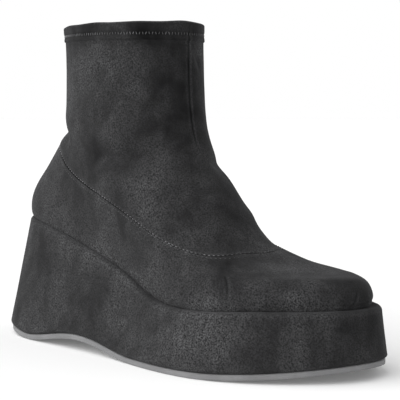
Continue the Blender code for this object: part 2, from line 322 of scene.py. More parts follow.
class StitchSizes(bpy.types.PropertyGroup):
    """Sizes of the thread and of its rows."""

    pitch: FloatProperty(name="Pitch", description="From one stitch to the next", default=0.0026, unit="LENGTH")
    length: FloatProperty(name="Length", description="Length of a stitch", default=0.0015, unit="LENGTH")
    thread: FloatProperty(name="Thread", description="Radius of the thread", default=0.00024, unit="LENGTH")
    above: FloatProperty(name="Above", description="Row above the seam", default=0.0006, unit="LENGTH")
    below: FloatProperty(name="Below", description="Row below the seam", default=0.0030, unit="LENGTH")
    zigzag_pitch: FloatProperty(name="Zigzag Pitch", description="Zigzag's step", default=0.0019, unit="LENGTH")
    zigzag_width: FloatProperty(name="Zigzag Width", description="Zigzag's width", default=0.0020, unit="LENGTH")
    zigzag_drop: FloatProperty(
        name="Zigzag Drop", description="Zigzag below the collar's edge", default=0.0070, unit="LENGTH"
    )
    roll: FloatProperty(name="Roll", description="Radius of an edge at a seam", default=0.0008, unit="LENGTH")
    groove: FloatProperty(name="Groove", description="Depth of a plain seam", default=0.0005, unit="LENGTH")


class BootColours(bpy.types.PropertyGroup):
    """Colours of the pieces."""

    suede_dark: FloatVectorProperty(
        name="Suede Dark", description="Nap brushed down", subtype="COLOR", default=(0.004, 0.004, 0.0042)
    )
    suede_light: FloatVectorProperty(
        name="Suede Light", description="Nap brushed up", subtype="COLOR", default=(0.094, 0.094, 0.0965)
    )
    thread: FloatVectorProperty(
        name="Thread", description="Sewing thread", subtype="COLOR", default=(0.150, 0.150, 0.155)
    )
    lining: FloatVectorProperty(
        name="Lining", description="Lining inside", subtype="COLOR", default=(0.016, 0.016, 0.017)
    )
    insole: FloatVectorProperty(
        name="Insole", description="Insole's cloth", subtype="COLOR", default=(0.030, 0.030, 0.032)
    )
    rubber: FloatVectorProperty(
        name="Rubber", description="Outsole", subtype="COLOR", default=(0.205, 0.205, 0.209)
    )
    floor: FloatVectorProperty(name="Floor", description="Studio floor", subtype="COLOR", default=(0.80, 0.80, 0.80))


class StageSizes(bpy.types.PropertyGroup):
    """The camera's place and the lights."""

    azimuth: FloatProperty(
        name="Azimuth", description="From the outer side toward the toe", default=math.radians(45.8), subtype="ANGLE"
    )
    pitch: FloatProperty(
        name="Pitch", description="How far the camera looks down", default=math.radians(3.83), subtype="ANGLE"
    )
    distance: FloatProperty(name="Distance", description="From the boot's middle", default=0.7411, unit="LENGTH")
    height: FloatProperty(name="Height", description="Camera above the floor", default=0.1397, unit="LENGTH")
    aside: FloatProperty(name="Aside", description="Camera moved to its right", default=0.0119, unit="LENGTH")
    lens: FloatProperty(name="Lens", description="Focal length in millimetres", default=111.65)
    key: FloatProperty(name="Key", description="Strength of the main light", default=3.7)
    key_height: FloatProperty(
        name="Key Height", description="The main light above the horizon", default=math.radians(40), subtype="ANGLE"
    )
    key_side: FloatProperty(
        name="Key Side", description="The main light to the camera's left", default=math.radians(68), subtype="ANGLE"
    )
    softness: FloatProperty(
        name="Softness", description="How wide the main light is", default=math.radians(100), subtype="ANGLE"
    )
    back: FloatProperty(name="Back", description="Strength of the light behind, on the right", default=0.8)
    back_height: FloatProperty(
        name="Back Height", description="The back light above the horizon", default=math.radians(25), subtype="ANGLE"
    )
    back_side: FloatProperty(
        name="Back Side", description="The back light to the camera's right", default=math.radians(105), subtype="ANGLE"
    )
    surround: FloatProperty(name="Surround", description="Strength of the even light", default=0.30)
    backdrop: FloatProperty(name="Backdrop", description="How bright the backdrop looks", default=1.0)


def natural_spline(knots, values, at):
    """Reads the natural cubic through the values, one row for each knot, at the given places."""
    knots = np.asarray(knots, float)
    values = np.asarray(values, float)
    at = np.asarray(at, float)
    steps = np.diff(knots)
    count = len(knots)
    system = np.eye(count)
    right = np.zeros_like(values)
    for i in range(1, count - 1):
        system[i, i - 1] = steps[i - 1]
        system[i, i] = 2 * (steps[i - 1] + steps[i])
        system[i, i + 1] = steps[i]
        rise = (values[i + 1] - values[i]) / steps[i]
        right[i] = 6 * (rise - (values[i] - values[i - 1]) / steps[i - 1])
    bends = np.linalg.solve(system, right)
    first = np.clip(np.searchsorted(knots, at) - 1, 0, count - 2)
    shape = at.shape + (1,) * (values.ndim - 1)
    step = steps[first].reshape(shape)
    ahead = (at - knots[first]).reshape(shape) / step
    behind = 1 - ahead
    line = behind * values[first] + ahead * values[first + 1]
    sag = (behind**3 - behind) * bends[first] + (ahead**3 - ahead) * bends[first + 1]
    return line + sag * step**2 / 6


def unit(vectors):
    """The vectors at length one."""
    return vectors / np.maximum(np.linalg.norm(vectors, axis=-1, keepdims=True), 1e-12)


class Last:
    """The boot's form: footbed, tread, outline and the rings of its skin, all in the boot's own frame."""

    CONTROLS = 2 * (len(STATIONS) + 1)
    WRAP = 4
    ALONG = (1 - np.cos(np.radians((0, *STATIONS, 180)))) / 2
    NUDGE = 0.02

    def __init__(self, sizes):
        self.s = sizes
        self.rings = self.ring_sizes()
        self.collar_ring = len(self.rings) - 1
        self.shift = np.zeros(3)
        edge = self.widest()
        middle = (edge.min(axis=0) + edge.max(axis=0)) / 2
        self.shift = np.array([middle[0], middle[1], 0.0])

    def mixed(self, table, lengths, x):
        """Reads a table of shares along the foot, and adds up the lengths that the shares belong to."""
        table = np.asarray(table)
        values = table[:, 1:] @ np.asarray(lengths)
        return natural_spline(table[:, 0] * self.s.foot_length, values, x)

    def footbed(self, x):
        """Height of the wedge's top."""
        s = self.s
        inside = np.clip(x, 0.0, s.foot_length)
        lifts = (s.heel_lift - s.ball_lift, s.toe_lift - s.ball_lift)
        return s.ball_lift + self.mixed(FOOTBED, lifts, inside)

    def tread(self, x):
        """Height of the outsole's underside."""
        share = np.asarray(x) / self.s.foot_length
        arch = np.clip((share - ARCH_BACK) / (ARCH_FRONT - ARCH_BACK), 0.0, 1.0)
        spring = np.clip((share - SPRING_START) / (SPRING_END - SPRING_START), 0.0, None)
        bevel = np.clip((BEVEL_START - share) / (BEVEL_START - BEVEL_END), 0.0, 1.0)
        rise = self.s.arch_rise * np.sin(math.pi * arch) ** 2 + self.s.toe_spring * spring**2
        return rise + self.s.heel_bevel * bevel**2 * (3 - 2 * bevel)

    def drop(self, x):
        """How far the wedge's top sinks before the toe."""
        share = np.asarray(x) / self.s.foot_length
        return self.s.toe_drop * np.clip((share - DROP_START) / (DROP_END - DROP_START), 0.0, 1.0)

    def spread(self, x, back, side, toe):
        """A width that changes from the heel over the sides to the toe."""
        return self.mixed(SPREAD, (back, side, toe), np.clip(x, 0.0, self.s.foot_length))

    def ring_sizes(self):
        """Rows of back_x, back_z, front_x, front_z and five half widths, from the footbed to the collar."""
        s = self.s
        rows = []
        for back_x, back_up, front_x, front_up, *widths in FOOT_RINGS:
            ends = [back_x * s.foot_length, s.heel_lift + back_up * s.counter_rise]
            ends += [front_x * s.foot_length, s.toe_lift + front_up * s.instep_rise]
            rows.append(ends + [width * s.ball_width for width in widths])
        back_start = rows[-1][1]
        front_start = rows[-1][3]
        for back_x, up_back, depth, up_front, *widths in SHAFT_RINGS:
            x = back_x * s.shaft_lean
            ends = [x, back_start + up_back * (s.collar_height - back_start)]
            ends += [x + depth * s.shaft_depth, front_start + up_front * (s.collar_height - front_start)]
            rows.append(ends + [width * s.shaft_width for width in widths])
        return np.array(rows)

    def weights(self, turn):
        """How much each of a ring's control points counts at the given turns."""
        knots = np.arange(-self.WRAP, self.CONTROLS + self.WRAP + 1)
        parts = np.eye(self.CONTROLS)[knots % self.CONTROLS]
        return natural_spline(knots, parts, (np.asarray(turn, float) % 360) * self.CONTROLS / 360)

    def skin(self, turn, ring):
        """Points of the outer skin at the given turns and rings."""
        turn, ring = np.broadcast_arrays(np.asarray(turn, float), np.asarray(ring, float))
        flat = ring.ravel()
        rows = natural_spline(np.arange(len(self.rings)), self.rings, flat)
        back_x, back_z, front_x, front_z = (rows[:, i, None] for i in range(4))
        half = np.pad(rows[:, 4:], ((0, 0), (1, 1)))
        x = back_x + self.ALONG * (front_x - back_x)
        z = back_z + self.ALONG * (front_z - back_z)
        swings = (self.s.shank_swing, self.s.toe_swing)
        y = self.mixed(SWING, swings, np.clip(x, 0.0, self.s.foot_length))
        outer = np.stack([x, y - half, z], axis=2)
        inner = np.stack([x, y + half, z], axis=2)[:, -2:0:-1]
        controls = np.concatenate([outer, inner], axis=1)
        points = np.einsum("ck,ckd->cd", self.weights(turn.ravel()), controls)
        share = np.clip(points[:, 0] / self.s.foot_length, 0.0, 1.0)
        line = self.s.heel_lift + share * (self.s.toe_lift - self.s.heel_lift)
        fade = np.clip(1 - flat / LAST_CURVED_RING, 0.0, 1.0) ** CURVE_FADE
        points[:, 2] += fade * (self.footbed(points[:, 0]) - line)
        return points.reshape(turn.shape + (3,)) - self.shift

    def frame_at(self, turn, ring):
        """Points, directions around the ring, up the skin and out of it."""
        step = self.NUDGE
        point = self.skin(turn, ring)
        around = unit(self.skin(turn + 40 * step, ring) - self.skin(turn - 40 * step, ring))
        low = np.clip(ring - step, 0, self.collar_ring)
        high = np.clip(ring + step, 0, self.collar_ring)
        up = unit(self.skin(turn, high) - self.skin(turn, low))
        out = unit(np.cross(around, up))
        return point, around, unit(np.cross(out, around)), out

    def seam_ring(self, turn):
        """The ring that the seam crosses, the same on both sides of the foot."""
        turn = np.asarray(turn, float) % 360
        return natural_spline(*np.array(SEAM, float).T, np.minimum(turn, 360 - turn))

    def hem_ring(self):
        """The ring where the hem begins."""
        return self.collar_ring - self.s.hem_depth / (self.rings[-1, 3] - self.rings[-2, 3])

    def turns(self):
        """The turns of a ring's points."""
        return np.arange(self.s.columns) * 360 / self.s.columns

    def fine_turns(self):
        """The turns of a ring's points, closer together beside the plain seams."""
        beside = np.linspace(-2.7, 2.7, 19)
        extra = [place + beside for place in (0.5 * (FRONT_SEAM[0] + FRONT_SEAM[2]), BACK_SEAM[0], 126.8, 233.2)]
        return np.unique(np.round(np.concatenate([self.turns(), *extra]) % 360, 4))

    def outline(self):
        """The edge of the footbed, before it is moved to the boot's frame."""
        return self.skin(self.turns(), 0.0) + self.shift

    def grown(self, ring, distance):
        """A ring moved outward in plan by the given distance."""
        along = np.roll(ring, -1, axis=0) - np.roll(ring, 1, axis=0)
        out = unit(np.stack([along[:, 1], -along[:, 0]], axis=1))
        moved = ring.copy()
        moved[:, :2] += out * np.broadcast_to(distance, (len(ring),))[:, None]
        return moved

    def welt_edge(self):
        """The wedge's ring where its rounded top edge ends and its side begins."""
        s = self.s
        foot = self.outline()
        ring = self.grown(foot, self.spread(foot[:, 0], s.welt_side, s.welt_side, s.welt_toe))
        ring[:, 2] = self.footbed(ring[:, 0]) - s.welt_round
        return ring

    def widest(self):
        """The wedge's widest ring, just above its rounded lower edge."""
        s = self.s
        edge = self.welt_edge()
        ring = self.grown(edge, self.spread(edge[:, 0], s.flare_back, s.flare_side, s.flare_toe))
        ring[:, 2] = self.tread(ring[:, 0]) + s.outsole_thickness + s.lower_round
        return ring


def waviness(points, size, seed):
    """Smooth unevenness between -1 and 1 over the points, with humps of about the given size."""
    flat = points.reshape(-1, 3) / size + seed
    values = [noise.noise(Vector(point)) for point in flat]
    return np.array(values).reshape(points.shape[:-1])


def near_line(points, line):
    """Distance of each point from a line of points, and the share along it of the nearest one."""
    flat = points.reshape(-1, 3)
    gaps = np.linalg.norm(flat[:, None] - line[None], axis=2)
    nearest = gaps.argmin(axis=1)
    shape = points.shape[:-1]
    return gaps.min(axis=1).reshape(shape), (nearest / (len(line) - 1)).reshape(shape)


def skin_line(last, *places, count=48):
    """Points along a smooth line on the skin through two or three places given as turn and ring."""
    ends = np.array(places, float).reshape(-1, 2)
    knots = np.linspace(0.0, 1.0, len(ends))
    where = natural_spline(knots, ends, np.linspace(0.0, 1.0, count))
    return last.skin(where[:, 0], where[:, 1])


def crease_depth(last, points):
    """How far the creases push the skin in, where a ridge counts below zero."""
    total = np.zeros(points.shape[:-1])
    for *places, depth, width in CREASES:
        gap, share = near_line(points, skin_line(last, *places))
        taper = np.sin(math.pi * np.clip(share, 0.04, 0.96)) ** 0.8
        total += depth * last.s.ball_width * taper * np.exp(-((gap / (width * last.s.ball_width)) ** 2))
    return total


def plain_seams(last, stitches, points):
    """Depth and tone of the plain seams and pleats: a narrow groove with a swell on one side, painted shade in the
    groove and a painted highlight on the swell, stronger on its side toward +X.
    """
    depth = np.zeros(points.shape[:-1])
    tone = np.zeros(points.shape[:-1])
    width = stitches.roll
    for *places, strength in PLAIN_SEAMS:
        line = skin_line(last, *places, count=240)
        gap, share = near_line(points, line)
        side = np.sign((points - line[np.rint(share * 239).astype(int)])[..., 0])
        ends = np.clip(np.minimum(share, 1 - share) * 8, 0.0, 1.0)
        groove = np.exp(-((gap / (0.55 * width)) ** 2))
        swell = np.exp(-(((gap - 1.9 * width) / (0.8 * width)) ** 2))
        depth += strength * stitches.groove * ends * (groove - 0.3 * swell)
        tone += strength * ends * (swell * np.where(side > 0, 0.40, 0.18) - 0.35 * groove)
    return depth, tone


def nap_tone_and_painted_light(points):
    """Tone of the patches: the nap's own tone, painted shade and painted highlights."""
    tone = np.zeros(points.shape[:-1])
    for *place, reach, strength in NAP_TONE_AND_PAINTED_LIGHT:
        gap = np.linalg.norm(points - np.array(place), axis=-1)
        tone += strength * np.exp(-((gap / reach) ** 2))
    return tone


def make_mesh(name, points, faces, attributes=None):
    """A mesh object from its points and faces, shaded smooth, with named values at its points."""
    mesh = bpy.data.meshes.new(name)
    mesh.from_pydata(np.asarray(points).tolist(), [], faces)
    mesh.shade_smooth()
    for label, values in (attributes or {}).items():
        layer = mesh.attributes.new(label, "FLOAT", "POINT")
        layer.data.foreach_set("value", np.asarray(values, np.float32).ravel())
    mesh.update()
    made = bpy.data.objects.new(name, mesh)
    bpy.context.scene.collection.objects.link(made)
    return made


def tube_faces(rows, columns, closed):
    """Faces between neighbouring rows of points, and from the last row back to the first if closed."""
    faces = []
    for i in range(rows if closed else rows - 1):
        low = i * columns
        high = ((i + 1) % rows) * columns
        for j in range(columns):
            k = (j + 1) % columns
            faces.append((low + j, low + k, high + k, high + j))
    return faces


def cap_faces(start, columns, up):
    """Strips across a ring of points, from its back to its front."""
    faces = []
    for i in range(columns // 2):
        strip = [start + i, start + i + 1, start + columns - i - 1, start + (columns - i) % columns]
        strip = list(dict.fromkeys(strip))
        faces.append(tuple(strip if up else strip[::-1]))
    return faces


def add_slots(piece, materials, chosen=None):
    """Gives a piece its materials, and each face its own where they are chosen."""
    for made in materials:
        piece.data.materials.append(made)
    if chosen is not None:
        piece.data.polygons.foreach_set("material_index", np.asarray(chosen, np.int32))


def settle(piece, node):
    """Lets a piece ride on the boot and stand for its solid, which it has to match in size."""
    low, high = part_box(node)
    points = np.array([vertex.co for vertex in piece.data.vertices])
    off = max(np.abs(points.min(axis=0) - low).max(), np.abs(points.max(axis=0) - high).max())
    if off > FIT:
        raise RuntimeError(f"{piece.name} differs from {node} by {off * 1000:.2f} mm")
    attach(piece, BODY)
    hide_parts(node)


def new_group(name, inputs, outputs):
    """A shader node group with the given sockets, its links and its two ends."""
    group = bpy.data.node_groups.new(name, "ShaderNodeTree")
    for label, kind, value in inputs:
        socket = group.interface.new_socket(label, in_out="INPUT", socket_type=kind)
        if value is not None:
            socket.default_value = value
    for label, kind in outputs:
        group.interface.new_socket(label, in_out="OUTPUT", socket_type=kind)
    start = group.nodes.new("NodeGroupInput")
    end = group.nodes.new("NodeGroupOutput")
    return group, start, end


def noise_node(tree, vector, scale, detail, roughness, distortion=0.0):
    """A noise texture on the given coordinates."""
    node = tree.nodes.new("ShaderNodeTexNoise")
    tree.links.new(vector, node.inputs["Vector"])
    node.inputs["Scale"].default_value = scale
    node.inputs["Detail"].default_value = detail
    node.inputs["Roughness"].default_value = roughness
    node.inputs["Distortion"].default_value = distortion
    return node


def ranged(tree, value, low, high, to_low=0.0, to_high=1.0):
    """The value stretched from one range to another, and held there."""
    node = tree.nodes.new("ShaderNodeMapRange")
    node.interpolation_type = "SMOOTHSTEP"
    tree.links.new(value, node.inputs["Value"])
    node.inputs["From Min"].default_value = low
    node.inputs["From Max"].default_value = high
    node.inputs["To Min"].default_value = to_low
    node.inputs["To Max"].default_value = to_high
    return node.outputs["Result"]


def reckon(tree, operation, first, second):
    """One sum of two values, each a socket or a number."""
    node = tree.nodes.new("ShaderNodeMath")
    node.operation = operation
    for socket, value in zip(node.inputs, (first, second)):
        if isinstance(value, (int, float)):
            socket.default_value = value
        else:
            tree.links.new(value, socket)
    return node.outputs["Value"]


def blended(tree, factor, first, second):
    """A colour between two, each a socket."""
    node = tree.nodes.new("ShaderNodeMix")
    node.data_type = "RGBA"
    tree.links.new(factor, node.inputs["Factor"])
    tree.links.new(first, node.inputs["A"])
    tree.links.new(second, node.inputs["B"])
    return node.outputs["Result"]


def nap_group():
    """Suede: brushed patches, small mottles and fine grain, as a colour and a height."""
    if "Nap" in bpy.data.node_groups:
        return bpy.data.node_groups["Nap"]
    grey = (0.5, 0.5, 0.5, 1.0)
    inputs = [
        ("Dark", "NodeSocketColor", grey),
        ("Light", "NodeSocketColor", grey),
        ("Patches", "NodeSocketFloat", 1.0),
        ("Tone And Painted Light", "NodeSocketFloat", 0.0),
    ]
    group, start, end = new_group("Nap", inputs, [("Color", "NodeSocketColor"), ("Height", "NodeSocketFloat")])
    place = group.nodes.new("ShaderNodeTexCoord").outputs["Object"]
    stretch = group.nodes.new("ShaderNodeMapping")
    stretch.inputs["Scale"].default_value = (1.0, 1.0, 0.7)
    stretch.inputs["Rotation"].default_value = (0.3, 0.5, 0.2)
    group.links.new(place, stretch.inputs["Vector"])
    swept = stretch.outputs["Vector"]
    broad = ranged(group, noise_node(group, swept, 36.0, 2.0, 0.5, 0.6).outputs["Fac"], 0.34, 0.68)
    mottle = ranged(group, noise_node(group, swept, 110.0, 2.0, 0.5, 0.3).outputs["Fac"], 0.32, 0.70)
    fine = noise_node(group, place, 1150.0, 2.0, 0.6).outputs["Fac"]
    grain = ranged(group, fine, 0.20, 0.80)
    fibre = noise_node(group, place, 2400.0, 2.0, 0.6).outputs["Fac"]
    patches = reckon(group, "MULTIPLY", reckon(group, "SUBTRACT", broad, 0.5), 0.30)
    small = reckon(group, "MULTIPLY", reckon(group, "SUBTRACT", mottle, 0.5), 0.16)
    large = reckon(group, "MULTIPLY", reckon(group, "ADD", patches, small), start.outputs["Patches"])
    speck = reckon(group, "MULTIPLY", reckon(group, "SUBTRACT", grain, 0.5), 3.5)
    tone = reckon(group, "ADD", reckon(group, "ADD", large, 0.45), start.outputs["Tone And Painted Light"])
    depth = reckon(group, "ADD", reckon(group, "MULTIPLY", tone, 0.75), 0.10)
    tone = reckon(group, "MULTIPLY", tone, reckon(group, "ADD", reckon(group, "MULTIPLY", speck, depth), 1.0))
    factor = reckon(group, "MULTIPLY", tone, 0.625)
    group.links.new(blended(group, factor, start.outputs["Dark"], start.outputs["Light"]), end.inputs["Color"])
    height = reckon(group, "ADD", reckon(group, "MULTIPLY", fine, 0.7), reckon(group, "MULTIPLY", fibre, 0.3))
    group.links.new(height, end.inputs["Height"])
    return group


def weave_group():
    """Fine knitted cloth: rows of small loops, as a colour and a height."""
    if "Knit" in bpy.data.node_groups:
        return bpy.data.node_groups["Knit"]
    inputs = [("Color", "NodeSocketColor", (0.5, 0.5, 0.5, 1.0)), ("Loops", "NodeSocketFloat", 900.0)]
    group, start, end = new_group("Knit", inputs, [("Color", "NodeSocketColor"), ("Height", "NodeSocketFloat")])
    place = group.nodes.new("ShaderNodeTexCoord").outputs["Object"]
    waves = []
    for direction in ("X", "Z"):
        wave = group.nodes.new("ShaderNodeTexWave")
        wave.bands_direction = direction
        wave.inputs["Distortion"].default_value = 1.5
        wave.inputs["Detail"].default_value = 1.0
        group.links.new(place, wave.inputs["Vector"])
        group.links.new(start.outputs["Loops"], wave.inputs["Scale"])
        waves.append(wave.outputs["Fac"])
    height = reckon(group, "MULTIPLY", waves[0], waves[1])
    dust = noise_node(group, place, 90.0, 3.0, 0.6).outputs["Fac"]
    shade = ranged(group, reckon(group, "ADD", reckon(group, "MULTIPLY", height, 0.5), dust), 0.2, 1.2, 0.75, 1.2)
    tint = group.nodes.new("ShaderNodeVectorMath")
    tint.operation = "SCALE"
    group.links.new(start.outputs["Color"], tint.inputs[0])
    group.links.new(shade, tint.inputs["Scale"])
    group.links.new(tint.outputs["Vector"], end.inputs["Color"])
    group.links.new(height, end.inputs["Height"])
    return group


def new_material(name, roughness):
    """A material with its shader."""
    made = bpy.data.materials.new(name)
    made.use_nodes = True
    shader = made.node_tree.nodes["Principled BSDF"]
    shader.inputs["Roughness"].default_value = roughness
    shader.inputs["Metallic"].default_value = 0.0
    return made, made.node_tree, shader


def add_bump(tree, shader, height, strength, distance):
    """Lets a height show as relief."""
    bump = tree.nodes.new("ShaderNodeBump")
    bump.inputs["Strength"].default_value = strength
    bump.inputs["Distance"].default_value = distance
    tree.links.new(height, bump.inputs["Height"])
    tree.links.new(bump.outputs["Normal"], shader.inputs["Normal"])


def place_group(tree, group, values):
    """A group in a material, with its own values."""
    node = tree.nodes.new("ShaderNodeGroup")
    node.node_tree = group
    for label, value in values.items():
        node.inputs[label].default_value = value
    return node


def suede_material(name, colours, patches):
    """Charcoal suede: brushed nap over the whole surface, with the tone, painted shade and painted highlights that each
    piece gives at its points.
    """
    if name in bpy.data.materials:
        return bpy.data.materials[name]
    made, tree, shader = new_material(name, 0.95)
    shader.inputs["Specular IOR Level"].default_value = 0.15
    shader.inputs["Sheen Weight"].default_value = 0.08
    shader.inputs["Sheen Roughness"].default_value = 0.45
    shader.inputs["Sheen Tint"].default_value = (0.55, 0.55, 0.57, 1.0)
    dark = (*colours.suede_dark, 1.0)
    light = (*colours.suede_light, 1.0)
    nap = place_group(tree, nap_group(), {"Dark": dark, "Light": light, "Patches": patches})
    tone_and_painted_light = tree.nodes.new("ShaderNodeAttribute")
    tone_and_painted_light.attribute_name = "tone_and_painted_light"
    tree.links.new(tone_and_painted_light.outputs["Fac"], nap.inputs["Tone And Painted Light"])
    tree.links.new(nap.outputs["Color"], shader.inputs["Base Color"])
    add_bump(tree, shader, nap.outputs["Height"], 0.6, 0.0004)
    return made


def cloth_material(name, colour, loops):
    """Plain knitted cloth."""
    if name in bpy.data.materials:
        return bpy.data.materials[name]
    made, tree, shader = new_material(name, 0.9)
    shader.inputs["Specular IOR Level"].default_value = 0.2
    shader.inputs["Sheen Weight"].default_value = 0.15
    knit = place_group(tree, weave_group(), {"Color": (*colour, 1.0), "Loops": loops})
    tree.links.new(knit.outputs["Color"], shader.inputs["Base Color"])
    add_bump(tree, shader, knit.outputs["Height"], 0.5, 0.0002)
    return made


def thread_material(colours):
    """Twisted sewing thread."""
    made, tree, shader = new_material("sewing_thread", 0.6)
    place = tree.nodes.new("ShaderNodeTexCoord").outputs["Object"]
    fine = noise_node(tree, place, 2600.0, 2.0, 0.6).outputs["Fac"]
    worn = ranged(tree, noise_node(tree, place, 120.0, 1.0, 0.5).outputs["Fac"], 0.35, 0.65, 0.35, 1.15)
    shade = reckon(tree, "MULTIPLY", worn, ranged(tree, fine, 0.3, 0.7, 0.7, 1.3))
    tint = tree.nodes.new("ShaderNodeVectorMath")
    tint.operation = "SCALE"
    tint.inputs[0].default_value = colours.thread
    tree.links.new(shade, tint.inputs["Scale"])
    tree.links.new(tint.outputs["Vector"], shader.inputs["Base Color"])
    add_bump(tree, shader, fine, 0.4, 0.0001)
    return made


def rubber_material(colours):
    """Matte grey rubber with a fine pebble and a little dust."""
    made, tree, shader = new_material("grey_rubber", 0.55)
    place = tree.nodes.new("ShaderNodeTexCoord").outputs["Object"]
    pebble = noise_node(tree, place, 1400.0, 2.0, 0.5).outputs["Fac"]
    dust = noise_node(tree, place, 60.0, 4.0, 0.6).outputs["Fac"]
    shade = ranged(tree, dust, 0.3, 0.7, 0.88, 1.10)
    tint = tree.nodes.new("ShaderNodeVectorMath")
    tint.operation = "SCALE"
    tint.inputs[0].default_value = colours.rubber
    tree.links.new(shade, tint.inputs["Scale"])
    tree.links.new(tint.outputs["Vector"], shader.inputs["Base Color"])
    tree.links.new(ranged(tree, dust, 0.3, 0.7, 0.5, 0.68), shader.inputs["Roughness"])
    add_bump(tree, shader, pebble, 0.35, 0.0002)
    return made


def settings():
    """The sizes and colours that the user has set, and the last made from them."""
    scene = bpy.context.scene
    return Last(scene.boot_sizes), scene.boot_stitches, scene.boot_colours


def edge_roll(gap, radius):
    """How far a rolled edge falls in at a given distance from it."""
    inside = np.clip(1 - gap / radius, 0.0, 1.0)
    return radius * (1 - np.sqrt(np.clip(1 - inside**2, 0.0, 1.0)))


def dressed(last, stitches, turn, ring):
    """The skin with its creases, plain seams and slight unevenness, its directions, and the tone painted on it: the
    seams' painted shade and highlights, and the patches.
    """
    point, around, up, out = last.frame_at(turn, ring)
    groove, tone = plain_seams(last, stitches, point)
    sink = crease_depth(last, point) + groove
    uneven = 0.0030 * waviness(point, 0.26 * last.s.ball_width, 3.1)
    uneven += 0.0010 * waviness(point, 0.10 * last.s.ball_width, 7.7)
    sink = sink + last.s.ball_width * uneven
    return point - out * sink[..., None], around, up, out, tone + nap_tone_and_painted_light(point)


def over_instep(turn):
    """One where the seam crosses the instep, where it is pressed flat, and none on the sides."""
    return np.clip((-np.cos(np.radians(turn)) - 0.72) / 0.18, 0.0, 1.0)


def seam_painted_light(turn, gap):
    """Painted shade in the seam's groove, and a painted highlight on the rolled edge beside it."""
    groove = 0.45 - 0.50 * over_instep(turn)
    return 0.12 * np.exp(-(((gap - 0.0016) / 0.0012) ** 2)) - groove * np.exp(-((gap / 0.0006) ** 2))


def seam_roll(stitches, turn):
    """Radius of the rolled edges beside the seam."""
    return stitches.roll * (1 - 0.7 * over_instep(turn))


def seam_gap(last, turn, ring):
    """Distance of each place from the seam between foot and shaft, along the skin."""
    return np.linalg.norm(last.skin(turn, ring) - last.skin(turn, last.seam_ring(turn)), axis=-1)


def wall_piece(name, outer, inner, tone_and_painted_light, materials):
    """A tube with a wall from its outer and inner rows, suede outside and lining inside."""
    rows = np.concatenate([outer, inner[::-1]])
    count, columns = rows.shape[:2]
    faces = tube_faces(count, columns, True)
    soft = np.concatenate([tone_and_painted_light, np.zeros(inner.shape[:2])])
    piece = make_mesh(name, rows.reshape(-1, 3), faces, {"tone_and_painted_light": soft})
    lined = np.arange(count) >= len(outer)
    add_slots(piece, materials, np.repeat(lined, columns))
    return piece


class BOOT_OT_foot_upper(bpy.types.Operator):
    """Builds the suede foot part of the upper, from the welt to the seam"""

    bl_idname = "boot.foot_upper"
    bl_label = "Foot Upper"

    OUTER_ROWS = 58
    EDGE_STEPS = (0.16, 0.11, 0.075, 0.05, 0.03, 0.012, 0.0)
    INNER_ROWS = 16
    ROLL_RING = 0.9
    UPRIGHT = 0.95

    def execute(self, context):
        last, stitches, colours = settings()
        turn = last.fine_turns()
        seam = last.seam_ring(turn)
        shares = (np.arange(self.OUTER_ROWS) / self.OUTER_ROWS) ** 1.2
        rings = [(seam - self.EDGE_STEPS[0]) * share for share in shares]
        rings += [seam - step for step in self.EDGE_STEPS]
        rings = np.array(rings)
        turns = np.broadcast_to(turn, rings.shape)
        point, around, up, out, tone = dressed(last, stitches, turns, rings)
        gap = seam_gap(last, turns, rings)
        point = point - out * edge_roll(gap, seam_roll(stitches, turns))[..., None]
        point[-1] -= up[-1] * 0.00012
        # the wall comes down nearly upright, and meets the welt in a fine crease
        front = self.UPRIGHT * (0.75 - 0.25 * np.cos(np.radians(turn)))
        higher = rings + front * np.clip(self.ROLL_RING - rings, 0.0, None)
        low = rings < self.ROLL_RING
        point[low, :2] = dressed(last, stitches, turns, higher)[0][low, :2]
        along = point[..., 0] + last.shift[0]
        point[0, :, 2] = last.footbed(along[0])
        point[..., 2] -= last.drop(along) * np.clip(1 - rings / 2, 0.0, 1.0)
        foot = last.skin(turn, 0.0) + last.shift
        inner_rings = np.linspace(0.0, 1.0, self.INNER_ROWS)[:, None] * (seam - 0.02)
        inner_turns = np.broadcast_to(turn, inner_rings.shape)
        inner, _, _, inward, _ = dressed(last, stitches, inner_turns, inner_rings)
        inner = inner - last.s.wall * inward
        rim = last.grown(foot, -last.s.wall)
        rim[:, 2] = last.footbed(rim[:, 0])
        inner[0] = rim - last.shift
        # lighter in a band just above the welt, and painted shade in the crease where the upper meets the welt
        tone_and_painted_light = 0.12 * np.exp(-(((rings - 0.8) / 0.5) ** 2)) - 0.22 * np.exp(-((rings / 0.13) ** 2))
        tone_and_painted_light = tone_and_painted_light + tone + seam_painted_light(turns, gap)
        suede = suede_material("charcoal_suede", colours, 1.0)
        lining = cloth_material("black_lining", colours.lining, 1100.0)
        piece = wall_piece("suede_foot_upper", point, inner, tone_and_painted_light, [suede, lining])
        settle(piece, "upper")
        return {"FINISHED"}


